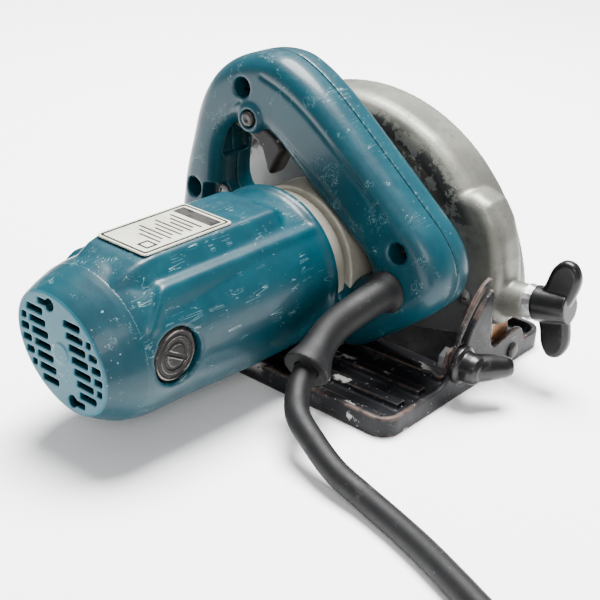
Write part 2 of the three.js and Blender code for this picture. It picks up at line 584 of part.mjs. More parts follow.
const guardCurve = new THREE.CatmullRomCurve3([
  [-62, 9, 47], [-62, 14, 47], [-60, 26, 44], [-57, 41, 37], [-60, 58, 28],
].map((p) => new THREE.Vector3(...p)));
add('cord_guard', union(
  tubeAlong(guardCurve, 7.4, 7, 10),
  rod([-62, 8.3, 47], [-62, 18, 47], 9.5, 8, 16),
  rod([-58.6, 52, 30.6], [-60.2, 59.4, 27.2], 8, 10.6, 18)), RUBBER, 0.6, 0);

// Cable laid through points, as a tube with its ends square to the run.
function cable(points) {
  const curve = new THREE.CatmullRomCurve3(
    points.map((p) => new THREE.Vector3(...p)), false, 'centripetal');
  return tubeAlong(curve, CORD.r, Math.round(curve.getLength() / 13), 8);
}

add('cord_rise', cable([
  [-60.5, 60.2, 26.8], [-64.5, 69.5, 22.5], [-72, 78, 18.2], [-77.6, 81, 16.2], [-84, 83, 14]]),
  RUBBER, 0.6, 0);
add('cord_run', cable([
  [-84.4, 83.1, 13.9], [-90.7, 85.1, 11.8], [-100, 88, 9], [-116, 90, 5.9], [-134, 95, CORD.r],
  [-152, 101, CORD.r], [-172, 109, CORD.r], [-187, 115.2, CORD.r], [-200, 119, CORD.r],
  [-213, 121.4, CORD.r]]), RUBBER, 0.6, 0);
const coil = new THREE.LatheGeometry([
  [47, 0.6], [52, 0], [63, 0], [68, 0.6], [68, 31], [63, 31.5], [52, 31.5], [47, 31], [47, 0.6],
].map(([r, z]) => new THREE.Vector2(r, z)), 32);
coil.rotateX(Math.PI / 2);
coil.translate(CORD.coil[0], CORD.coil[1], 0);
add('cord_coil', toSolid(coil), RUBBER, 0.6, 0);
const TIE = { x: CORD.coil[0] - CORD.mean, y: CORD.coil[1] };
add('cord_tie', cut(
  box(TIE.x - 13, TIE.x + 13, TIE.y - 4, TIE.y + 4, 0, 34),
  box(TIE.x - 11, TIE.x + 11, TIE.y - 5, TIE.y + 5, -1, 32)), BLACK, 0.6, 0);
const PLUG = { x: CORD.coil[0] + 2, y: CORD.coil[1] + CORD.mean, z: 31.8 };  // lies on the coil
const prong = (side) => box(
  PLUG.x + 15, PLUG.x + 33, PLUG.y + side * 6.5 - 1, PLUG.y + side * 6.5 + 1, PLUG.z + 9, PLUG.z + 14);
add('power_plug', union(
  box(PLUG.x - 16, PLUG.x + 16, PLUG.y - 13, PLUG.y + 13, PLUG.z, PLUG.z + 23),
  rod([PLUG.x - 15, PLUG.y, PLUG.z + 11.5], [PLUG.x - 27, PLUG.y, PLUG.z + 11.5], 9, 6.5, 16),
  prong(-1), prong(1)), BLACK, 0.5, 0);

// ---------------------------------------------------------------- export

export default group;
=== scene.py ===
"""Visual model of an old portable circular saw: worn teal handle and motor, silver blade case, steel base."""

import json
import math

import bmesh
import bpy
from mathutils import Matrix, Vector


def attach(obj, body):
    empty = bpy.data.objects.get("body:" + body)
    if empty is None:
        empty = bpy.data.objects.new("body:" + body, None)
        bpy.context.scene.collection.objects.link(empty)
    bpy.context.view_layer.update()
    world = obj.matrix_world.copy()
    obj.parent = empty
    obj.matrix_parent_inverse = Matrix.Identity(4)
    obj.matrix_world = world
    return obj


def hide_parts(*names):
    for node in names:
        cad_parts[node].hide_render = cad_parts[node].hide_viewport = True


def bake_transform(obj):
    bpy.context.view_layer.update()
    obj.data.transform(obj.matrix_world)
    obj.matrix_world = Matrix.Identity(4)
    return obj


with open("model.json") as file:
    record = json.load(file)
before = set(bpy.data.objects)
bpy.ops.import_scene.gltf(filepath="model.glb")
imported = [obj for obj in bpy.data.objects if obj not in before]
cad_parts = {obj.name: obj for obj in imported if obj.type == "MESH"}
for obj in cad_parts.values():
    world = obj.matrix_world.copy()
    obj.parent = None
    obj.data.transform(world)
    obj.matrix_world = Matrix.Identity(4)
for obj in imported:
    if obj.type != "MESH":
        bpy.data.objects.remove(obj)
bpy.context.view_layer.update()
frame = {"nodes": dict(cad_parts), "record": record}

MM = 0.001

# ---------------------------------------------------------------- driving dimensions, millimetres

BASE = dict(x0=-94, x1=118, y0=-85, y1=45, floor=3, rim=9.5, wall=2.6)
RIB_ROWS = (-12, 6, 22, 38)         # Y of the stiffening ribs in the base
BEVEL = (-55, 7)                    # Y and Z of the bevel axis
BEVEL_R = 50                        # from the bevel axis to the bevel bolt
BEVEL_REST = 13.5                   # degrees that the bevel bolt stands above the axis
PIVOT = (100, 12)                   # X and Z of the depth hinge
GUIDE_R = 188                       # curve of the depth guide round the depth hinge
GUIDE_Y = (-57, -42.5)
GUIDE_Z = (10.8, 77.4)
GUIDE_SLOT_Y = (-51.6, -44.4)
GUIDE_SLOT_Z = (31, 73.8)
CLAMP = Vector((-101, -48, 38))     # on the depth clamp bolt, which leans up to the rear
CLAMP_LEAN = 0.19

ARBOR = (0, 21)                     # X and Z of the blade axis
IDLER = (7.77, 37.65)               # X and Z of the middle shaft
MOTOR = (-7, 45)                    # X and Z of the motor axis
BRUSH = (115, 46.5)                 # Y and Z of the brush caps
CASE_R = 92
CASE_Y = -66                        # open side of the blade case

END_TILT = math.radians(35)         # lean of the oval motor end
END_CENTRE = (-6, 45.6)             # X and Z
END_FACE = (27.2, 20.2)             # long and short half widths of the flat end
END_Y = 145

HANDLE_Y = (-24, 8)
SEAM = -8                           # Y of the joint between the handle halves
SCREWS = {"top": (28, 118), "front": (56, 62), "rear": (-65, 66)}   # X and Z
POCKET_SCREW = (44.5, 60)           # X and Z
CASE_SCREW = (-74, 34)              # X and Z
BUTTON = (22, 105)                  # X and Z

CORD_R = 5.25
COIL = (-242, 191)                  # X and Y of the middle of the coil
COIL_RADII = (62.7, 52.2)

# ---------------------------------------------------------------- camera

CAMERA_AT = Vector((-0.3408, 0.4260, 0.2831))   # metres
CAMERA_TURN = math.radians(52.0)    # heading to the right of +X
CAMERA_DROP = math.radians(25.87)
CAMERA_ROLL = math.radians(4.0)
CAMERA_LENS = 75.8
CAMERA_SENSOR = 36


def add_camera():
    ahead = Vector((
        math.cos(CAMERA_TURN) * math.cos(CAMERA_DROP),
        -math.sin(CAMERA_TURN) * math.cos(CAMERA_DROP),
        -math.sin(CAMERA_DROP),
    ))
    level = Vector((-math.sin(CAMERA_TURN), -math.cos(CAMERA_TURN), 0))
    upward = level.cross(ahead)
    right = math.cos(CAMERA_ROLL) * level + math.sin(CAMERA_ROLL) * upward
    up = math.cos(CAMERA_ROLL) * upward - math.sin(CAMERA_ROLL) * level
    data = bpy.data.cameras.new("camera")
    data.lens = CAMERA_LENS
    data.sensor_width = CAMERA_SENSOR
    data.clip_start = 0.01
    camera = bpy.data.objects.new("camera", data)
    bpy.context.scene.collection.objects.link(camera)
    turn = Matrix((right, up, -ahead)).transposed().to_4x4()
    camera.matrix_world = Matrix.Translation(CAMERA_AT) @ turn
    bpy.context.scene.camera = camera


add_camera()

# ---------------------------------------------------------------- mesh helpers


def mesh_object(name, points, faces, sharp=35):
    """Closed mesh from points in millimetres, smooth but for edges over the given angle."""
    mesh = bpy.data.meshes.new(name)
    mesh.from_pydata([Vector(p) * MM for p in points], [], faces)
    mesh.validate()
    piece = bpy.data.objects.new(name, mesh)
    bpy.context.scene.collection.objects.link(piece)
    shade(piece, sharp)
    return piece


def shade(piece, sharp):
    """Smooth shading but for edges over the given angle."""
    mesh = piece.data
    mesh.polygons.foreach_set("use_smooth", [True] * len(mesh.polygons))
    mesh.set_sharp_from_angle(angle=math.radians(sharp))
    mesh.update()


def loft(name, rings, sharp=35):
    """Closed skin over rings that all have the same number of points, with flat ends."""
    count = len(rings[0])
    points = [p for ring in rings for p in ring]
    faces = []
    for i in range(len(rings) - 1):
        for j in range(count):
            k = (j + 1) % count
            faces.append((i * count + j, i * count + k, (i + 1) * count + k, (i + 1) * count + j))
    faces.append(tuple(reversed(range(count))))
    faces.append(tuple(range((len(rings) - 1) * count, len(rings) * count)))
    piece = mesh_object(name, points, faces, sharp)
    face_outwards(piece, sharp)
    return piece


def face_outwards(piece, sharp):
    """Turns every face of a closed mesh to the outside."""
    work = bmesh.new()
    work.from_mesh(piece.data)
    bmesh.ops.recalc_face_normals(work, faces=work.faces)
    work.to_mesh(piece.data)
    work.free()
    shade(piece, sharp)


AXES = {
    "x": lambda u, v, w: (w, u, v),
    "y": lambda u, v, w: (u, w, v),
    "z": lambda u, v, w: (u, v, w),
}


def prism(outline, axis, lo, hi):
    """Outline pushed along an axis: (Y, Z) along x, (X, Z) along y, (X, Y) along z."""
    place = AXES[axis]
    return loft("tool", [[place(u, v, w) for u, v in outline] for w in (lo, hi)])


def block(x0, x1, y0, y1, z0, z1):
    return prism([(x0, z0), (x1, z0), (x1, z1), (x0, z1)], "y", y0, y1)


def ring_about(start, direction, radius, sides):
    direction = Vector(direction).normalized()
    side = direction.orthogonal().normalized()
    other = direction.cross(side)
    turns = [2 * math.pi * i / sides for i in range(sides)]
    return [Vector(start) + radius * (math.cos(t) * side + math.sin(t) * other) for t in turns]


def turned(start, direction, profile, sides=96):
    """Solid of revolution: profile is a list of (distance along, radius)."""
    direction = Vector(direction).normalized()
    rings = [ring_about(Vector(start) + along * direction, direction, max(radius, 0.01), sides)
             for along, radius in profile]
    return loft("tool", rings)


def rod(start, end, r0, r1=None, sides=48):
    """Round bar, tapered when it has a second radius."""
    span = (Vector(end) - Vector(start)).length
    far = r0 if r1 is None else r1
    return turned(start, Vector(end) - Vector(start), [(0, r0), (span, far)], sides)


def rod_y(x, z, y0, y1, r, sides=64):
    return rod((x, y0, z), (x, y1, z), r, sides=sides)


def catmull(points, per, closed=False):
    """Smooth line through points, centripetal, with a number of steps to each span."""
    points = [Vector(p) for p in points]
    count = len(points)
    spans = count if closed else count - 1
    line = []
    for i in range(spans):
        if closed:
            p0, p1, p2, p3 = (points[(i + k) % count] for k in (-1, 0, 1, 2))
        else:
            p1, p2 = points[i], points[i + 1]
            p0 = points[i - 1] if i else 2 * p1 - p2
            p3 = points[i + 2] if i + 2 < count else 2 * p2 - p1
        t1 = max((p1 - p0).length, 1e-6) ** 0.5
        t2 = t1 + max((p2 - p1).length, 1e-6) ** 0.5
        t3 = t2 + max((p3 - p2).length, 1e-6) ** 0.5
        for j in range(per):
            t = t1 + (t2 - t1) * j / per
            a1 = p0 * ((t1 - t) / t1) + p1 * (t / t1)
            a2 = p1 * ((t2 - t) / (t2 - t1)) + p2 * ((t - t1) / (t2 - t1))
            a3 = p2 * ((t3 - t) / (t3 - t2)) + p3 * ((t - t2) / (t3 - t2))
            b1 = a1 * ((t2 - t) / t2) + a2 * (t / t2)
            b2 = a2 * ((t3 - t) / (t3 - t1)) + a3 * ((t - t1) / (t3 - t1))
            line.append(b1 * ((t2 - t) / (t2 - t1)) + b2 * ((t - t1) / (t2 - t1)))
    if not closed:
        line.append(points[-1])
    return line


def smooth_outline(points, per=6):
    return [(p.x, p.y) for p in catmull([(u, v, 0) for u, v in points], per, closed=True)]


def inset(outline, distance):
    """Outline moved inwards along its own normals, whichever way round it runs."""
    area = sum(a[0] * b[1] - b[0] * a[1] for a, b in zip(outline, outline[1:] + outline[:1]))
    sign = 1 if area > 0 else -1
    moved = []
    for i, (u, v) in enumerate(outline):
        before = outline[i - 1]
        after = outline[(i + 1) % len(outline)]
        tangent = Vector((after[0] - before[0], after[1] - before[1])).normalized()
        moved.append((u - sign * tangent.y * distance, v + sign * tangent.x * distance))
    return moved


def slab(outline, y0, y1, round_off, depth=None, steps=7):
    """Thick plate along Y whose long edges are rounded: round_off in the outline, depth along Y."""
    depth = round_off if depth is None else depth
    low = []
    high = []
    for i in range(steps + 1):
        turn = math.pi / 2 * i / steps
        edge = inset(outline, round_off * (1 - math.sin(turn)))
        reach = depth * (1 - math.cos(turn))
        low.append([(u, y0 + reach, v) for u, v in edge])
        high.append([(u, y1 - reach, v) for u, v in edge])
    return loft("tool", low + high[::-1], 60)


def bake(piece, sharp=35):
    """Applies every modifier of a piece."""
    state = bpy.context.evaluated_depsgraph_get()
    mesh = bpy.data.meshes.new_from_object(piece.evaluated_get(state))
    piece.modifiers.clear()
    piece.data = mesh
    shade(piece, sharp)


def combine(body, tools, operation):
    """Applies one boolean for each tool in turn and removes the tools."""
    for tool in tools:
        step = body.modifiers.new("step", "BOOLEAN")
        step.operation = operation
        step.solver = "MANIFOLD"
        step.object = tool
    bake(body)
    for tool in tools:
        bpy.data.objects.remove(tool)
    return body


def join(body, *tools):
    return combine(body, tools, "UNION")


def carve(body, *tools):
    return combine(body, tools, "DIFFERENCE")


def keep(body, *tools):
    return combine(body, tools, "INTERSECT")


def soften(piece, voxel, passes, sharp=180):
    """Rounds every edge and fillets every corner a little, as on a casting or a moulding."""
    grid = piece.modifiers.new("grid", "REMESH")
    grid.mode = "VOXEL"
    grid.voxel_size = voxel * MM
    blur = piece.modifiers.new("blur", "SMOOTH")
    blur.factor = 0.5
    blur.iterations = passes
    bake(piece, sharp)
    return piece


def arc(cx, cz, r, start, end, steps):
    """Points round a centre, from one angle to another in degrees."""
    turns = [math.radians(start + (end - start) * i / steps) for i in range(steps + 1)]
    return [(cx + r * math.cos(t), cz + r * math.sin(t)) for t in turns]


def finished(piece, name, body, material, *nodes, slot=None):
    """Names a piece, gives it its look and its body, and lets it stand for CAD nodes."""
    piece.name = name
    piece.data.materials.clear()
    piece.data.materials.append(material)
    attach(piece, body)
    if nodes:
        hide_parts(*nodes)
    return piece


# ---------------------------------------------------------------- materials


class Look:
    """Small builder for procedural materials in object space, metres."""

    def __init__(self, name):
        self.material = bpy.data.materials.new(name)
        self.material.use_nodes = True
        self.tree = self.material.node_tree
        self.shader = self.tree.nodes["Principled BSDF"]
        self.space = self.node("ShaderNodeTexCoord").outputs["Object"]

    def node(self, kind, **settings):
        made = self.tree.nodes.new(kind)
        for key, value in settings.items():
            setattr(made, key, value)
        return made

    def link(self, source, target):
        self.tree.links.new(source, target)

    def stretched(self, scale, turn=(0, 0, 0)):
        mapping = self.node("ShaderNodeMapping")
        mapping.inputs["Scale"].default_value = scale
        mapping.inputs["Rotation"].default_value = turn
        self.link(self.space, mapping.inputs["Vector"])
        return mapping.outputs["Vector"]

    def noise(self, scale, detail=4, rough=0.6, space=None):
        made = self.node("ShaderNodeTexNoise")
        made.inputs["Scale"].default_value = scale
        made.inputs["Detail"].default_value = detail
        made.inputs["Roughness"].default_value = rough
        self.link(space or self.space, made.inputs["Vector"])
        return made.outputs["Fac"]

    def band(self, value, lo, hi, flip=False):
        """Smooth step of a value between two limits."""
        made = self.node("ShaderNodeMapRange", interpolation_type="SMOOTHSTEP")
        made.inputs["From Min"].default_value = lo
        made.inputs["From Max"].default_value = hi
        made.inputs["To Min"].default_value = 1 if flip else 0
        made.inputs["To Max"].default_value = 0 if flip else 1
        self.link(value, made.inputs["Value"])
        return made.outputs["Result"]

    def maths(self, kind, a, b):
        made = self.node("ShaderNodeMath", operation=kind, use_clamp=True)
        for socket, value in zip(made.inputs, (a, b)):
            if isinstance(value, (int, float)):
                socket.default_value = value
            else:
                self.link(value, socket)
        return made.outputs["Value"]

    def mix(self, factor, a, b):
        made = self.node("ShaderNodeMix", data_type="RGBA")
        for socket, value in zip((made.inputs[0], made.inputs[6], made.inputs[7]), (factor, a, b)):
            if isinstance(value, (int, float)):
                socket.default_value = value
            elif isinstance(value, tuple):
                socket.default_value = (*value, 1)
            else:
                self.link(value, socket)
        return made.outputs[2]

    def edges(self, lo, hi):
        """High on outward edges, by pointiness."""
        return self.band(self.node("ShaderNodeNewGeometry").outputs["Pointiness"], lo, hi)

    def along(self, axis):
        """One coordinate, in metres."""
        split = self.node("ShaderNodeSeparateXYZ")
        self.link(self.space, split.inputs["Vector"])
        return split.outputs[axis]

    def from_axis(self, x, z):
        """Distance from an axis along Y, in metres."""
        moved = self.node("ShaderNodeMapping")
        moved.inputs["Location"].default_value = (-x * MM, 0, -z * MM)
        moved.inputs["Scale"].default_value = (1, 0, 1)
        self.link(self.space, moved.inputs["Vector"])
        length = self.node("ShaderNodeVectorMath", operation="LENGTH")
        self.link(moved.outputs["Vector"], length.inputs[0])
        return length.outputs["Value"]

    def scratches(self, scale, width, cover, turn):
        """Long thin marks that run one way, kept to patches."""
        fibres = self.noise(scale, 1.5, 0.5, self.stretched((1, 0.07, 1), turn))
        line = self.node("ShaderNodeMath", operation="COMPARE")
        line.inputs[1].default_value = 0.5
        line.inputs[2].default_value = width
        self.link(fibres, line.inputs[0])
        patches = self.band(self.noise(95, 3), cover, cover + 0.05)
        return self.maths("MULTIPLY", line.outputs["Value"], patches)

    def specks(self, scale, level, cover):
        """Ragged spots of many sizes, kept to patches."""
        dots = self.band(self.noise(scale, 2.5, 0.6), level, level + 0.025)
        return self.maths("MULTIPLY", dots, self.band(self.noise(26, 3), cover, cover + 0.1))

    def finish(self, colour, roughness, metallic, bumps, depth=0.00012, coat=0):
        self.link(colour, self.shader.inputs["Base Color"])
        self.shader.inputs["Coat Weight"].default_value = coat
        self.shader.inputs["Coat Roughness"].default_value = 0.12
        self.shader.inputs["Specular IOR Level"].default_value = 0.22
        for socket, value in (("Roughness", roughness), ("Metallic", metallic)):
            if isinstance(value, (int, float)):
                self.shader.inputs[socket].default_value = value
            else:
                self.link(value, self.shader.inputs[socket])
        bump = self.node("ShaderNodeBump")
        bump.inputs["Strength"].default_value = 0.6
        bump.inputs["Distance"].default_value = depth
        self.link(bumps, bump.inputs["Height"])
        self.link(bump.outputs["Normal"], self.shader.inputs["Normal"])
        return self.material


def worn(name, tones, rough, metal, wear, edge, scratch, speck, coat=0, extra=None):
    """Surface of three tones with rubbed edges, scratches and spots.

    wear is the colour of rubbed places and edge its limits in pointiness;
    scratch and speck are (colour, cover), and a cover over 1 leaves them out;
    extra(look, colour) may lay one more layer over the tones.
    """
    look = Look(name)
    cloudy = look.band(look.noise(30, 5), 0.35, 0.68)
    mottled = look.noise(160, 6, 0.7)
    colour = look.mix(cloudy, tones[0], tones[1])
    colour = look.mix(look.maths("MULTIPLY", look.band(mottled, 0.45, 0.8), 0.35), colour, tones[2])
    if extra:
        colour = extra(look, colour)
    rubbed = look.maths("MULTIPLY", look.edges(*edge), look.band(look.noise(150, 5), 0.42, 0.58))
    colour = look.mix(look.maths("MULTIPLY", rubbed, 0.8), colour, wear)
    marks = look.scratches(260, 0.0035, scratch[1] + 0.03, (0.3, 0.5, 0.7))
    for scale, turn in ((320, (1.3, 0.2, 2.1)), (220, (0.6, 1.2, -0.9))):
        marks = look.maths("ADD", marks, look.scratches(scale, 0.003, scratch[1] + 0.05, turn))
    colour = look.mix(look.maths("MULTIPLY", marks, 0.55), colour, scratch[0])
    spots = look.maths("ADD", look.specks(330, 0.7, speck[1]), look.specks(800, 0.7, speck[1] - 0.04))
    colour = look.mix(look.maths("MULTIPLY", spots, 0.85), colour, speck[0])
    uneven = look.node("ShaderNodeMapRange")
    uneven.inputs["To Min"].default_value = max(rough - 0.12, 0.05)
    uneven.inputs["To Max"].default_value = min(rough + 0.18, 1)
    look.link(mottled, uneven.inputs["Value"])
    grainy = look.noise(900, 3, 0.6)
    bumps = look.maths("SUBTRACT", look.maths("ADD", look.maths("MULTIPLY", grainy, 0.5), spots), marks)
    return look.finish(colour, uneven.outputs["Result"], metal, bumps, coat=coat)


def painted_lit_end(look, colour):
    """Painted light: the flat end of the motor, which faces the light, is painted a paler blue."""
    flat = look.band(look.along("Y"), 0.1441, 0.1447)
    lit_tone = look.mix(look.noise(120, 5), (0.004, 0.060, 0.088), (0.015, 0.095, 0.125))
    return look.mix(flat, colour, lit_tone)


def case_face(look, colour):
    """Darker bare face inside a silver rim, and dark patches where the paint has gone between them."""
    reach = look.from_axis(*ARBOR)
    inner = look.band(reach, 0.081, 0.084, flip=True)
    bare = look.mix(look.noise(40, 6), (0.11, 0.115, 0.115), (0.20, 0.20, 0.195))
    colour = look.mix(inner, colour, bare)
    outside = look.band(reach, 0.069, 0.079)
    inside = look.band(reach, 0.084, 0.0905, flip=True)
    ring = look.maths("MULTIPLY", outside, inside)
    gone = look.maths("MULTIPLY", look.band(look.noise(85, 7, 0.68), 0.475, 0.50), ring)
    gone = look.maths("MULTIPLY", gone, look.band(look.along("Z"), 0.055, 0.075))
    return look.mix(look.maths("MULTIPLY", gone, 0.9), colour, (0.022, 0.023, 0.023))


def splashes(look, colour):
    """Brown rubbed rims and ragged white paint splashes."""
    rims = look.maths("MULTIPLY", look.edges(0.506, 0.53), look.band(look.noise(70, 6), 0.42, 0.60))
    brown = look.mix(look.noise(200, 4), (0.045, 0.024, 0.019), (0.09, 0.065, 0.052))
    colour = look.mix(rims, colour, brown)
    wide = look.maths("MULTIPLY", look.band(look.noise(58, 5, 0.6), 0.595, 0.62),
                      look.band(look.noise(17, 2), 0.44, 0.52))
    return look.mix(look.maths("MULTIPLY", wide, 0.85), colour, (0.42, 0.42, 0.40))


TEAL_TONES = [(0, 0.024, 0.036), (0, 0.034, 0.048), (0, 0.048, 0.062)]

TEAL = worn(
    "teal_plastic", TEAL_TONES, rough=0.36, metal=0,
    wear=(0.06, 0.18, 0.20), edge=(0.535, 0.575),
    scratch=((0.20, 0.34, 0.36), 0.53), speck=((0.22, 0.28, 0.27), 0.54), coat=0.12)
# Teal of the end cover; its flat end is painted paler as painted light.
TEAL_END = worn(
    "teal_end", TEAL_TONES, rough=0.4, metal=0,
    wear=(0.18, 0.30, 0.32), edge=(0.53, 0.57),
    scratch=((0.20, 0.34, 0.36), 0.56), speck=((0.3, 0.36, 0.36), 0.56), coat=0.1, extra=painted_lit_end)
CASE = worn(
    "case_aluminium", [(0.12, 0.12, 0.104), (0.19, 0.19, 0.165), (0.03, 0.03, 0.028)], rough=0.42, metal=0.6,
    wear=(0.40, 0.39, 0.35), edge=(0.515, 0.56),
    scratch=((0.03, 0.03, 0.03), 0.50), speck=((0.02, 0.019, 0.018), 0.45), extra=case_face)
GEAR = worn(
    "gear_paint", [(0.30, 0.285, 0.235), (0.40, 0.38, 0.32), (0.16, 0.145, 0.115)], rough=0.5, metal=0.25,
    wear=(0.5, 0.48, 0.42), edge=(0.515, 0.56),
    scratch=((0.10, 0.09, 0.075), 0.54), speck=((0.05, 0.045, 0.035), 0.56))
BLACK = worn(
    "base_paint", [(0.002, 0.0025, 0.004), (0.0035, 0.004, 0.006), (0.009, 0.008, 0.008)], rough=0.5, metal=0,
    wear=(0.10, 0.075, 0.062), edge=(0.53, 0.57),
    scratch=((0.16, 0.16, 0.16), 0.53), speck=((0.42, 0.41, 0.39), 0.50), extra=splashes)
STEEL = worn(
    "bare_steel", [(0.13, 0.13, 0.135), (0.20, 0.20, 0.20), (0.07, 0.055, 0.04)], rough=0.38, metal=0.85,
    wear=(0.3, 0.3, 0.3), edge=(0.56, 0.62),
    scratch=((0.3, 0.3, 0.3), 0.53), speck=((0.06, 0.04, 0.025), 0.56))
# Dark steel for the rivet head; on the three handle screws in their deep holes the darkness is painted shade.
DARK_STEEL = worn(
    "dark_steel", [(0.025, 0.023, 0.022), (0.05, 0.046, 0.042), (0.03, 0.02, 0.014)], rough=0.45, metal=0.8,
    wear=(0.2, 0.19, 0.17), edge=(0.56, 0.62),
    scratch=((0.15, 0.15, 0.15), 0.53), speck=((0.05, 0.03, 0.02), 0.54))
RUST = worn(
    "rusty_steel", [(0.17, 0.075, 0.03), (0.34, 0.27, 0.20), (0.06, 0.035, 0.025)], rough=0.5, metal=0.5,
    wear=(0.5, 0.45, 0.38), edge=(0.51, 0.55),
    scratch=((0.4, 0.38, 0.35), 0.5), speck=((0.05, 0.025, 0.015), 0.52))
RUBBER = worn(
    "cord_rubber", [(0.0018, 0.0019, 0.0023), (0.003, 0.0031, 0.0035), (0.008, 0.008, 0.008)],
    rough=0.55, metal=0,
    wear=(0.03, 0.03, 0.03), edge=(0.53, 0.58),
    scratch=((0.05, 0.05, 0.05), 0.53), speck=((0.06, 0.057, 0.053), 0.58))
PLASTIC = worn(
    "black_plastic", [(0.0015, 0.0015, 0.0018), (0.003, 0.003, 0.0032), (0.007, 0.007, 0.007)],
    rough=0.33, metal=0,
    wear=(0.04, 0.038, 0.035), edge=(0.53, 0.57),
    scratch=((0.07, 0.07, 0.065), 0.55), speck=((0.10, 0.095, 0.085), 0.58), coat=0.15)
BROWN = worn(
    "brown_plastic", [(0.005, 0.0038, 0.0038), (0.009, 0.007, 0.007), (0.02, 0.017, 0.016)],
    rough=0.5, metal=0,
    wear=(0.30, 0.28, 0.25), edge=(0.512, 0.545),
    scratch=((0.20, 0.18, 0.17), 0.53), speck=((0.25, 0.23, 0.2), 0.57))
LABEL = worn(
    "label_card", [(0.36, 0.36, 0.29), (0.46, 0.46, 0.38), (0.20, 0.18, 0.13)], rough=0.5, metal=0,
    wear=(0.5, 0.5, 0.5), edge=(0.6, 0.7),
    scratch=((0.12, 0.12, 0.10), 0.54), speck=((0.10, 0.07, 0.04), 0.53))
BRASS = worn(
    "copper_alloy", [(0.42, 0.26, 0.10), (0.5, 0.32, 0.14), (0.25, 0.15, 0.07)], rough=0.35, metal=0.9,
    wear=(0.6, 0.4, 0.2), edge=(0.52, 0.57),
    scratch=((0.2, 0.12, 0.06), 0.55), speck=((0.1, 0.06, 0.03), 0.6))

SLOT_LOOKS = {
    "base_paint": BLACK, "bare_steel": STEEL, "blade_steel": STEEL, "guard_steel": STEEL,
    "rusty_steel": RUST, "cord_rubber": RUBBER, "black_plastic": PLASTIC, "brown_plastic": BROWN,
    "teal_plastic": TEAL, "case_aluminium": CASE, "gear_aluminium": GEAR, "label_card": LABEL,
    "copper_alloy": BRASS,
}


def dress_frame():
    """Gives every CAD node the look of its slot and a small bevel."""
    slots = {part["node"]: part["material_slot"] for part in frame["record"]["subparts"]}
    for name, node in frame["nodes"].items():
        node.data.materials.clear()
        node.data.materials.append(SLOT_LOOKS[slots[name]])
        edge = node.modifiers.new("edge", "BEVEL")
        edge.width = 0.0004
        edge.segments = 2
        edge.limit_method = "ANGLE"
        edge.angle_limit = math.radians(30)


dress_frame()

# ---------------------------------------------------------------- cord


def tube(name, line, radius, sides=16):
    """Tube along a line in millimetres; radius is a number or a function of the share travelled."""
    count = len(line)
    side = None
    rings = []
    for i, point in enumerate(line):
        ahead = (line[min(i + 1, count - 1)] - line[max(i - 1, 0)]).normalized()
        if side is None:
            side = ahead.orthogonal().normalized()
        side = (side - side.dot(ahead) * ahead).normalized()
        other = ahead.cross(side)
        r = radius(i / (count - 1)) if callable(radius) else radius
        turns = [2 * math.pi * j / sides for j in range(sides)]
        rings.append([point + r * (math.cos(t) * side + math.sin(t) * other) for t in turns])
    return loft(name, rings, 60)


RISE = [(-60.5, 60.2, 26.8), (-64.5, 69.5, 22.5), (-72, 78, 18.2), (-84, 83.2, 14), (-100, 88, 9),
        (-116, 90.5, 6.2)]
LAID = [(-116, 90.5, 6.2), (-134, 95, CORD_R), (-152, 101, CORD_R), (-172, 109, CORD_R),
        (-187, 115.2, CORD_R), (-204, 120.5, CORD_R), (-222, 124, CORD_R), (-239, 127, CORD_R)]


def coil_points():
    """Clockwise turns in three layers of two; each turn moves over to the next lane as it closes."""
    outer, inner = COIL_RADII
    turns = [(outer, 0), (inner, 0), (inner, 1), (outer, 1), (outer, 2), (inner, 2)]
    steps = 18
    count = 5 * steps + 5
    lanes = [turns[min((k + 3) // steps, 5)] for k in range(count)]
    points = []
    for k in range(count):
        near = lanes[max(k - 2, 0):k + 3]
        radius = sum(lane[0] for lane in near) / len(near)
        level = sum(lane[1] for lane in near) / len(near)
        angle = math.radians(-103 - 360 * k / steps)
        points.append((COIL[0] + radius * math.cos(angle), COIL[1] + radius * math.sin(angle),
                       CORD_R * (1 + 2 * level)))
    return points


def build_cords():
    rise = catmull(RISE, 8)
    upper = tube("cord_upper", rise, CORD_R)
    upper.data.materials.append(RUBBER)
    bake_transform(upper)
    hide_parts("cord_rise")
    tail = [(-292.7, 206.5, 30.5), (-287.4, 221.8, 35.5), (-279.5, 235.5, 40.2),
            (-272.8, 243.6, 42.6), (-267.4, 247.6, 43.3)]
    laid = catmull(LAID + coil_points() + tail, 6)
    lower = tube("cord_lower", laid, CORD_R)
    lower.data.materials.append(RUBBER)
    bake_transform(lower)
    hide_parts("cord_run", "cord_coil")


build_cords()

# ---------------------------------------------------------------- base and tilting frame


def rounded_rect(x0, x1, y0, y1, r, steps=8):
    corners = [(x1 - r, y0 + r, -90), (x1 - r, y1 - r, 0), (x0 + r, y1 - r, 90), (x0 + r, y0 + r, 180)]
    return [p for cx, cy, a in corners for p in arc(cx, cy, r, a, a + 90, steps)]


def arc_slot(radius, half, start, end):
    """Outline of a curved slot round the bevel axis, in Y and Z."""
    y, z = BEVEL
    return arc(y, z, radius - half, start, end, 16) + arc(y, z, radius + half, end, start, 16)


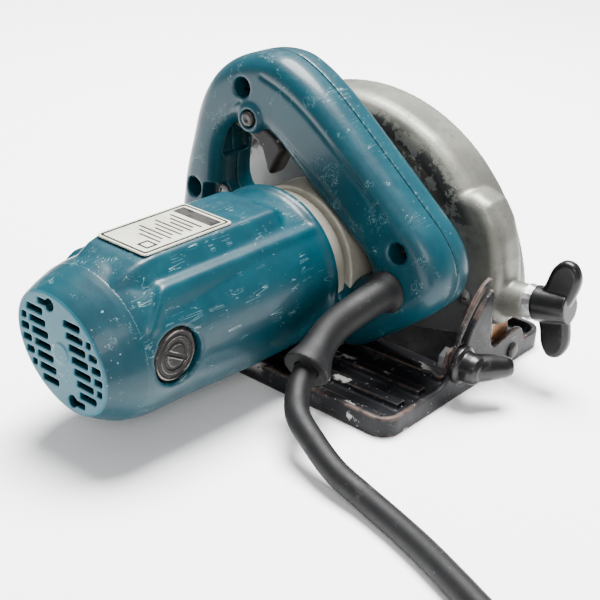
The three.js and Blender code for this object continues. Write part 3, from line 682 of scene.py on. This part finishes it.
def build_base():
    w = BASE["wall"]
    tray = prism(rounded_rect(BASE["x0"], BASE["x1"], BASE["y0"], BASE["y1"], 9), "z", 0, BASE["rim"])
    inner = rounded_rect(BASE["x0"] + w, BASE["x1"] - w, BASE["y0"] + w, BASE["y1"] - w, 7)
    carve(tray, prism(inner, "z", BASE["floor"], 20))
    quadrant = smooth_outline([
        (-55, 3), (-20, 3), (10, 3.5), (11, 8), (3, 10.5), (-1, 14), (-3, 23), (-6, 32), (-11, 40),
        (-17, 48), (-23, 52.5), (-28, 53), (-30.5, 47), (-32, 34), (-33.5, 20), (-37, 15.5), (-46, 16.5),
        (-57, 18), (-62, 16.5), (-64.5, 10), (-62, 4)], 4)
    ribs = []
    for y in RIB_ROWS:
        rib = [(-84, y - 4), (100, y + 1), (100, y + 7), (-84, y + 2)]
        ribs.append(prism(rib, "z", 2.5, 5.6))
    join(tray, prism(quadrant, "x", BASE["x0"], BASE["x0"] + w), *ribs)
    carve(
        tray,
        prism(rounded_rect(-87, 92, -68, -26, 4), "z", -5, 6),
        prism(arc_slot(BEVEL_R, 3, BEVEL_REST - 4, BEVEL_REST + 49), "x", -98, -88),
        rod((-98, *BEVEL), (-88, *BEVEL), 2.3),
    )
    rivet = turned((-93.9, *BEVEL), (-1, 0, 0), [(0, 4), (0.9, 4), (1.6, 3.2), (1.8, 1.6)], 40)
    finished(rivet, "rivet_head", "base", DARK_STEEL, "rear_pivot_rivet", slot="bare_steel")
    soften(tray, 0.7, 4)
    finished(tray, "base_tray", "base", BLACK, "base_plate", slot="base_paint")


def guide_x(z, offset):
    """X of the depth guide at a height, some way out from the middle of its thickness."""
    return PIVOT[0] - math.sqrt((GUIDE_R + offset) ** 2 - (z - PIVOT[1]) ** 2)


def build_guide():
    low, high = GUIDE_Z
    heights = [low + (high - low) * i / 24 for i in range(25)]
    near = [(guide_x(z, -1.1), z) for z in heights]
    far = [(guide_x(z, 1.1), z) for z in reversed(heights)]
    strip = prism(near + far, "y", *GUIDE_Y)
    carve(strip, block(-95, -70, *GUIDE_SLOT_Y, *GUIDE_SLOT_Z))
    soften(strip, 0.5, 2)
    finished(strip, "depth_strip", "tilt_frame", RUST, "depth_guide", slot="rusty_steel")


def build_bevel_knob():
    angle = math.radians(BEVEL_REST)
    y = BEVEL[0] + BEVEL_R * math.cos(angle)
    z = BEVEL[1] + BEVEL_R * math.sin(angle)
    knob = turned((-94.4, y, z), (-1, 0, 0), [
        (0, 8.2), (0.6, 8.8), (2.6, 8.8), (3.2, 8.2), (3.4, 7), (8, 6.9), (10.5, 6.2), (12, 4.4),
        (12.4, 2)])
    lever = turned((-99.5, y + 1.5, z), (-0.62, -0.78, 0), [
        (0, 3), (0.8, 5.2), (3, 6.6), (10, 6), (18, 4.9), (20.5, 3.9), (21.6, 2)])
    join(knob, lever)
    carve(knob, rod((-93, y, z), (-101, y, z), 2.8))
    soften(knob, 0.4, 4)
    finished(knob, "bevel_handle", "bevel_knob", PLASTIC, "rear_bevel_knob", slot="black_plastic")


def clamp_at(along):
    """Point on the depth clamp bolt, this far behind CLAMP along X."""
    return CLAMP + Vector((-along, 0, CLAMP_LEAN * along))


def build_wing():
    hub = rod(clamp_at(5.8), clamp_at(22), 8.4, 7)
    upper = [(-107, 40), (-110, 51), (-112.5, 59), (-117, 63.5), (-122.5, 63), (-126, 57.5), (-125, 49),
             (-121, 41)]
    lower = [(-108, 38), (-110.5, 28), (-112.5, 20.5), (-116.5, 16), (-121.5, 17), (-125, 23),
             (-124.5, 32), (-121, 41)]
    wings = [slab(smooth_outline(points, 5), -51, -45, 2.4) for points in (upper, lower)]
    join(hub, *wings)
    carve(hub, rod(clamp_at(0), clamp_at(14.4), 3.3))
    soften(hub, 0.45, 5)
    finished(hub, "wing_grip", "wing", PLASTIC, "wing_knob", slot="black_plastic")


build_base()
build_guide()
build_bevel_knob()
build_wing()

# ---------------------------------------------------------------- blade case and gear housing


def build_case():
    x, z = ARBOR
    profile = [(0, CASE_R), (18, CASE_R), (21.5, 91.2), (24.2, 89.2), (26.2, 86), (27.2, 82.5), (27.5, 80),
               (26.6, 78.6), (26.3, 76)]
    shell = turned((x, CASE_Y, z), (0, 1, 0), profile, 180)
    chute = [(-60, 82), (-71, 83), (-79.5, 80), (-85, 72.5), (-88.5, 64), (-91, 55), (-92.5, 46),
             (-93.5, 38), (-93.5, 27), (-91, 24), (-75, 24), (-62, 45), (-52, 66)]
    join(
        shell,
        slab(chute, -60, -38.4, 6, 7),
        rod(clamp_at(-12), clamp_at(2.1), 9, 7.8),
        prism([(80, 50), (92, 30), (103, 18.5), (106.5, 12), (104, 6.5), (96, 6.2), (88, 11), (80, 20)],
              "y", -48.8, -31.2),
        block(-78, -62, -41, -38.2, 60.6, 63),
    )
    hollow = turned((x, -63.4, z), (0, 1, 0), [(0, 89), (16, 89), (19.5, 87.5), (22, 84)], 180)
    heights = [-20 + 98.2 * i / 30 for i in range(31)]
    near = [(guide_x(h, -1.6), h) for h in heights]
    far = [(guide_x(h, 1.6), h) for h in reversed(heights)]
    carve(
        shell,
        hollow,
        rod_y(x, z, -67, -63, 72, 128),
        rod_y(x, z, -43, -38, 16.3),
        prism([(-130, -90), (130, -90), (130, 13), (50, 11), (-38, 10), (-50, 8), (-75, 14), (-86, 23),
               (-130, 23)], "y", -70, -20),
        prism(near + far, "y", -57.5, -42),
        rod(clamp_at(-20), clamp_at(5), 3.3),
        rod_y(*PIVOT, -60, -20, 3.8),
    )
    seam = turned((x, -56.7, z), (0, 1, 0), [(0, 94), (0.9, 94)], 180)
    carve(seam, rod_y(x, z, -58, -54, 91.2, 180))
    carve(shell, seam)
    soften(shell, 0.8, 8)
    finished(shell, "case_shell", "saw_body", CASE, "blade_case", slot="case_aluminium")


def gear_outline(grow=0):
    """Outline of the gear housing in X and Z: round the blade axis and round the motor axis."""
    ends = [(*ARBOR, 27 + grow, 199, 373), (*MOTOR, 25 + grow, 13, 199)]
    return [p for cx, cz, r, a, b in ends for p in arc(cx, cz, r, a, b, 32)]


# X and Z of the foot under the rear of the handle, and of the room for it in the handle.
LUG = [(-10, 18), (-36, 12), (-43, 18), (-44, 36), (-38, 42), (-10, 46)]
LUG_ROOM = [(-10, 17), (-36, 11.5), (-43.5, 17.5), (-44.5, 36.2), (-38.2, 42.5), (-10, 46.5)]


def build_gear_housing():
    housing = prism(gear_outline(), "y", -38.2, 9)
    carve(housing, block(-60, 60, -40, 12, -20, 4.2))
    flange = turned((MOTOR[0], 8.4, MOTOR[1]), (0, 1, 0),
                    [(0, 32), (1.2, 33), (3, 33.4), (11.3, 33.4)], 128)
    shoulder = prism(gear_outline(9), "y", -12, 6)
    carve(shoulder, block(-60, 60, -40, 12, -20, 4.2))
    join(housing, flange, rod_y(*ARBOR, -44, -38, 16), shoulder)
    carve(
        housing,
        rod_y(*ARBOR, -50, -20, 8.3),
        rod_y(*MOTOR, 11, 21, 11.3),
        rod_y(*IDLER, -24, -4, 13.4),
        rod_y(*ARBOR, -24, -13.5, 14.5),
        rod_y(*MOTOR, -13.7, 12, 6),
    )
    soften(housing, 0.7, 4)
    finished(housing, "gear_casting", "saw_body", GEAR, "gear_housing", slot="gear_aluminium")
    foot = slab(smooth_outline(LUG, 4), 0, 15, 2, 2.5)
    soften(foot, 0.6, 3)
    finished(foot, "mount_foot", "saw_body", TEAL)


build_case()
build_gear_housing()

# ---------------------------------------------------------------- motor


def mirrored(points, mirror):
    """The outline itself for 1, and its mirror image about the motor axis for -1."""
    return [(MOTOR[0] + mirror * (u - MOTOR[0]), v) for u, v in points]


POD = [                             # X and Z of the side panel round a brush cap
    (-14, 73), (-29.5, 74.2), (-32.4, 73.2), (-34.4, 69), (-37.3, 60), (-38.2, 50), (-37.6, 36),
    (-34, 28), (-15, 17)]
POD_SIDE = [                        # Y and Z of the same panel
    (10, 0), (118, 0), (129, 32), (130, 46), (127, 60), (118, 72), (108, 80), (10, 80)]
PAD = [(-31, 70), (-23, 81), (-21.8, 82.3), (7.8, 82.3), (9, 81), (17, 70)]    # X and Z, under the label
PAD_RINGS = [                       # Y and size along the pad
    (34, 0.9), (36, 0.965), (40, 1), (112, 1), (118, 0.965), (123, 0.905), (128, 0.82), (133, 0.71)]
SHELL_RINGS = [                     # Y, half widths and shift of each ring of the housing
    (20, 38, 38, 0), (20.5, 38.4, 38.4, 0), (23.3, 38.4, 38.4, 0), (24.2, 37.6, 37.6, 0),
    (25, 36.8, 36.8, 0), (28, 36.6, 36.6, 0), (60, 36.6, 36.6, 0), (100, 35, 35, 0),
    (118, 35, 34.4, 0), (126, 34.6, 32.4, 0.2), (133, 32.8, 28.8, 0.4)]


def end_ring(y, wide, narrow, shift=1, steps=128):
    """Leaning oval round the motor axis; shift says how far its centre has moved to that of the end."""
    cx = MOTOR[0] + shift * (END_CENTRE[0] - MOTOR[0])
    cz = MOTOR[1] + shift * (END_CENTRE[1] - MOTOR[1])
    ring = []
    for i in range(steps):
        t = 2 * math.pi * i / steps
        a, b = wide * math.cos(t), narrow * math.sin(t)
        ring.append((cx + a * math.cos(END_TILT) - b * math.sin(END_TILT), y,
                     cz + a * math.sin(END_TILT) + b * math.cos(END_TILT)))
    return ring


def build_motor():
    x, z = MOTOR
    body = loft("body", [end_ring(*ring) for ring in SHELL_RINGS])
    pods = [slab(mirrored(POD, m), 21, 128.5, 2.2, 3) for m in (1, -1)]
    for pod in pods:
        keep(pod, prism(POD_SIDE, "x", -60, 60))
    pad_rings = []
    for y, size in PAD_RINGS:
        pad_rings.append([(x + size * (u - x), y, z + size * (v - z)) for u, v in PAD])
    pad = loft("pad", pad_rings)
    keep(pad, prism(rounded_rect(-30, 16, 34, 190, 16), "z", 50, 90))
    join(body, *pods, pad)
    tools = [block(-60, 60, 27, 150, -20, 12), rod_y(x, z, 18, 24, 33.5), rod_y(x, z, 110, 134, 22)]
    for m in (1, -1):
        ends = [(x + m * (v - x), *BRUSH) for v in (-46, -28)]
        tools.append(rod(*ends, 11.9, sides=64))
    tools.append(turned((x, 22, z), (0, 1, 0), [(0, 33), (40, 33), (80, 30), (98, 29)], 96))
    carve(body, *tools)
    soften(body, 0.8, 14)
    finished(body, "motor_shell", "saw_body", TEAL, "motor_housing", slot="teal_plastic")


def face_span(z, margin):
    """X limits of the flat end at a height, a margin inside its edge."""
    a, b = (half - margin for half in END_FACE)
    c, s = math.cos(END_TILT), math.sin(END_TILT)
    up = z - END_CENTRE[1]
    square = (c / a) ** 2 + (s / b) ** 2
    linear = 2 * up * s * c * (1 / a ** 2 - 1 / b ** 2)
    constant = (up * s / a) ** 2 + (up * c / b) ** 2 - 1
    inside = linear ** 2 - 4 * square * constant
    if inside <= 0:
        return None
    root = math.sqrt(inside)
    left = END_CENTRE[0] + (-linear - root) / (2 * square)
    right = END_CENTRE[0] + (-linear + root) / (2 * square)
    return left, right


def grille_slots():
    """Rows of slots on both sides of a leaning middle band, with a keyhole above and below."""
    slots = []
    for row in range(-3, 4):
        z = END_CENTRE[1] + 4.7 * row
        span = face_span(z, 1.6)
        if not span:
            continue
        middle = END_CENTRE[0] + 0.32 * (z - END_CENTRE[1])
        for side, rim in ((-1, span[0]), (1, span[1])):
            start = middle + side * 6
            room = side * (rim - start)
            if room < 3:
                continue
            long_end = start + side * min(9.5, room)
            slots.append((start, long_end, z))
            if room > 13:
                slots.append((long_end + side * 1.8, rim, z))
    tools = [block(*sorted((u0, u1)), 139, 147, z - 1.35, z + 1.35) for u0, u1, z in slots]
    for z, side in ((END_CENTRE[1] + 18.6, 1), (END_CENTRE[1] - 18.6, -1)):
        centre = END_CENTRE[0] + side * 6.5
        tools.append(rod_y(centre, z, 139, 147, 2.6, 32))
        tools.append(block(*sorted((centre, centre + side * 7)), 139, 147, z - 1.3, z + 1.3))
    return tools


def build_vent_cover():
    wide, narrow = END_FACE
    cover = loft("cover", [
        end_ring(130, 33.9, 30.6, 0.3), end_ring(133, 32.9, 29, 0.4), end_ring(138, 31, 25.8, 0.7),
        end_ring(142.5, 28.9, 22.6), end_ring(144.3, 28.1, 21.2), end_ring(END_Y, wide, narrow)])
    carve(cover, loft("tool", [end_ring(129, 29, 27, 0.3), end_ring(138, 27, 23, 0.7),
                               end_ring(142.4, 25.6, 18.6)]))
    carve(cover, *grille_slots())
    x, z = END_CENTRE
    join(cover, rod((x, 143.5, z), (x, 145.4, z), 4.6, 4.2))
    soften(cover, 0.4, 2)
    finished(cover, "end_cover", "saw_body", TEAL_END, "vent_cover", slot="teal_plastic")


def build_brush_cap(end, mirror):
    x = MOTOR[0] + mirror * (-29 - MOTOR[0])
    face = [(0, 11.5), (8.4, 11.5), (9.6, 10.6), (9.9, 10.1), (9.2, 9.7), (9.2, 8.4), (9.9, 8.0),
            (9.9, 6.6), (9.3, 6.2), (9.3, 5.2), (10.2, 4.8), (10.6, 3.6), (10.7, 0.1)]
    cap = turned((x, *BRUSH), (-mirror, 0, 0), face, 72)
    y, z = BRUSH
    slot = [(y - 6.8, z - 2.6), (y + 5.8, z + 4.2), (y + 6.8, z + 2.6), (y - 5.8, z - 4.2)]
    carve(cap, prism(slot, "x", *sorted((x - mirror * 9.4, x - mirror * 14))))
    soften(cap, 0.35, 2)
    finished(cap, f"brush_cover_{end}", "saw_body", BROWN, f"brush_cap_{end}", slot="brown_plastic")


def build_label():
    """Card with a printed border, a bar, a square and plain rules in place of any text."""
    card = prism(rounded_rect(-21, 7, 65, 115, 2), "z", 82.5, 83.1)
    border = prism(rounded_rect(-20, 6, 66, 114, 1.5), "z", 82.9, 83.25)
    carve(border, prism(rounded_rect(-19, 5, 67, 113, 1), "z", 80, 85))
    rules = []
    for i in range(9):
        y = 78 + 2.9 * i
        rules.append(block(-16 + 2 * (i % 2), 2 - 3 * (i % 3), y, y + 1, 82.9, 83.2))
    symbol = block(-17, -11, 104, 110, 82.9, 83.2)
    carve(symbol, block(-16, -12, 105, 109, 82, 84))
    join(border, block(-18, 4, 68.5, 75, 82.9, 83.2), symbol, *rules)
    finished(card, "label_card_piece", "saw_body", LABEL, "rating_label", slot="label_card")
    finished(border, "label_print", "saw_body", PLASTIC)


build_motor()
build_vent_cover()
for end, mirror in (("rear", 1), ("front", -1)):
    build_brush_cap(end, mirror)
build_label()

# ---------------------------------------------------------------- handle

HANDLE = [                          # X and Z, along the outside and back along the inside
    (68, 44), (67.5, 56), (66, 70), (62, 88), (59, 101), (55, 111), (49, 120), (41, 127), (31, 132),
    (20, 135), (9, 135), (-1, 131.5), (-11, 126), (-22, 118.5), (-41, 104), (-64, 86), (-77, 75.5),
    (-84, 67), (-87.5, 57), (-86, 47), (-80, 39), (-70, 30), (-54, 17), (-44, 10), (-34, 9), (-16, 10),
    (-14, 36), (-34, 42), (-49, 49), (-45, 57), (-34, 64.5), (-20, 74), (-8, 82.5), (1, 90), (8, 95.5),
    (16, 99), (25, 100.5), (33, 99), (38.5, 94.5), (41.5, 87), (42.5, 76), (42, 66), (36, 59), (14, 57),
    (10, 38), (30, 30), (54, 31), (64, 36)]
GROOVES = [                         # X and Z along the shallow grooves of the near face
    [(45.4, 80.5), (44.6, 88), (41.6, 95), (36.4, 104.5), (32, 109.5), (28, 112)],
    [(11, 103.8), (2.4, 99.9), (-6.9, 94.4), (-15.5, 88.7), (-32, 77.5), (-46, 67)],
    [(18, 126), (6, 122.5), (-5, 117.5), (-20, 108), (-35, 96.5), (-52, 82.5)],
]


def build_handle():
    whole = slab(smooth_outline(HANDLE, 5), *HANDLE_Y, 9.5, 11)
    x, z = BUTTON
    join(whole, turned((x, 5, z), (0, 1, 0), [(0, 8), (3.2, 6.9), (4.4, 6.4), (4.7, 5.6)], 48))
    tools = [
        prism(gear_outline(0.4), "y", -40, 12),
        prism(LUG_ROOM, "y", -0.4, 12),
        rod_y(*MOTOR, 8, 20, 38, 96),
        prism([(4, 108), (4, 80), (46, 80), (48, 100), (44, 112), (30, 116)], "y", -17, 1),
        rod_y(*BUTTON, 0, 12, 4.1),
    ]
    for x, z in SCREWS.values():
        tools.append(rod((x, -3, z), (x, 11, z), 4.5, 4.9))
    tools.append(slab(rounded_rect(39.2, 50.2, 54, 66, 2), -1.5, 20, 1))
    tools.extend(tube("tool", catmull([(x, 8.2, z) for x, z in line], 8), 1.2) for line in GROOVES)
    carve(whole, *tools)
    other = whole.copy()
    other.data = whole.data.copy()
    bpy.context.scene.collection.objects.link(other)
    for half, name, lo, hi in ((whole, "left", SEAM + 0.2, 40), (other, "right", -60, SEAM - 0.2)):
        keep(half, block(-120, 120, lo, hi, -20, 160))
        soften(half, 0.75, 4)
        finished(half, f"grip_{name}", "saw_body", TEAL, f"handle_{name}", slot="teal_plastic")


def screw_head(x, y, z, r):
    """Cross-slot screw head that faces +Y."""
    profile = [(0, r * 0.8), (0.4, r), (1.2, r), (1.9, r * 0.75), (2.1, r * 0.3)]
    head = turned((x, y, z), (0, 1, 0), profile, 40)
    cross = [block(x - r * 0.65, x + r * 0.65, y + 0.8, y + 4, z - 0.5, z + 0.5),
             block(x - 0.5, x + 0.5, y + 0.8, y + 4, z - r * 0.65, z + r * 0.65)]
    carve(head, *cross)
    return head


def build_screws():
    for end, (x, z) in SCREWS.items():
        head = screw_head(x, -1.8, z, 4)
        # The handle screws get dark steel: painted shade of their deep holes.
        finished(head, f"screw_{end}", "saw_body", DARK_STEEL, f"handle_screw_{end}", slot="bare_steel")
    x, z = POCKET_SCREW
    finished(screw_head(x, -1.2, z, 4.4), "screw_pocket", "saw_body", STEEL, "pocket_screw",
             slot="bare_steel")
    x, z = CASE_SCREW
    finished(screw_head(x, -38.1, z, 4.2), "screw_case", "saw_body", STEEL, "case_screw",
             slot="bare_steel")


def build_trigger():
    outline = smooth_outline([
        (41, 98), (30, 99.8), (20, 98.8), (12, 94), (9.8, 90), (12.4, 84.5), (16, 77.5), (18.6, 76),
        (20.2, 80.5), (23.4, 87.4), (28.4, 91.4), (35, 93.6), (40.5, 95)], 5)
    lever = slab(outline, -14, -2.4, 3, 4)
    soften(lever, 0.45, 3)
    finished(lever, "trigger_paddle", "trigger_lever", BROWN, "trigger", slot="brown_plastic")


def build_button():
    knob = turned((BUTTON[0], 1.4, BUTTON[1]), (0, 1, 0), [
        (0, 3.6), (7.6, 3.6), (8.6, 3.3), (9.0, 2.6), (9.0, 1.6), (8.7, 0.8), (8.6, 0.1)], 64)
    finished(knob, "button_cap", "lock", PLASTIC, "lock_button", slot="black_plastic")


def build_cord_guard():
    line = catmull([(-62, 8.3, 47), (-62, 14, 47), (-60, 26, 44), (-57, 41, 37), (-60.2, 59.6, 27.1)], 14)

    def girth(t):
        """Radius at a share of the length: wide at the handle, with a lip at the far end."""
        root = 2.2 * math.exp(-((t / 0.12) ** 2))
        lip = 3.4 * math.exp(-(((1 - t) / 0.09) ** 2))
        return 7.5 + root + lip - 0.4 * t

    sleeve = tube("sleeve", line, girth, 40)
    ahead = (line[-1] - line[-3]).normalized()
    carve(sleeve, rod(line[-1] - 3.5 * ahead, line[-1] + 4 * ahead, 5.5))
    soften(sleeve, 0.5, 2)
    finished(sleeve, "strain_relief", "saw_body", RUBBER, "cord_guard", slot="cord_rubber")


build_handle()
build_screws()
build_trigger()
build_button()
build_cord_guard()

# ---------------------------------------------------------------- floor and light


def build_stage():
    """Pale bench with a hidden well under the base for the blade."""
    reach = 3000
    deep = 90
    top = [(-reach, -reach), (reach, -reach), (reach, reach), (-reach, reach)]
    well = [(-88, -83), (95, -83), (95, 0), (-88, 0)]
    points = [(x, y, 0) for x, y in top + well] + [(x, y, -deep) for x, y in well]
    faces = [(i, (i + 1) % 4, 4 + (i + 1) % 4, 4 + i) for i in range(4)]
    faces += [(4 + i, 4 + (i + 1) % 4, 8 + (i + 1) % 4, 8 + i) for i in range(4)]
    faces.append((8, 9, 10, 11))
    floor = mesh_object("floor", points, faces, 30)
    look = Look("floor_paper")
    tone = look.mix(look.noise(6, 3), (0.93, 0.93, 0.93), (0.96, 0.96, 0.96))
    floor.data.materials.append(look.finish(tone, 0.8, 0, look.noise(700, 2), 0.00003))


def add_area_light(name, at, towards, size, power):
    data = bpy.data.lights.new(name, "AREA")
    data.shape = "DISK"
    data.size = size
    data.energy = power
    light = bpy.data.objects.new(name, data)
    bpy.context.scene.collection.objects.link(light)
    aim = (Vector(towards) - Vector(at)).to_track_quat("-Z", "Y")
    light.matrix_world = Matrix.Translation(Vector(at)) @ aim.to_matrix().to_4x4()


def build_light():
    add_area_light("overhead", (0.15, -0.3, 1.35), (0, 0, 0.04), 0.9, 130)
    add_area_light("fill", (-1.0, 1.1, 0.9), (0, 0, 0.04), 0.6, 12)
    world = bpy.data.worlds.new("room")
    bpy.context.scene.world = world
    world.use_nodes = True
    world.node_tree.nodes["Background"].inputs["Color"].default_value = (1, 1, 1, 1)
    world.node_tree.nodes["Background"].inputs["Strength"].default_value = 0.58


build_stage()
build_light()
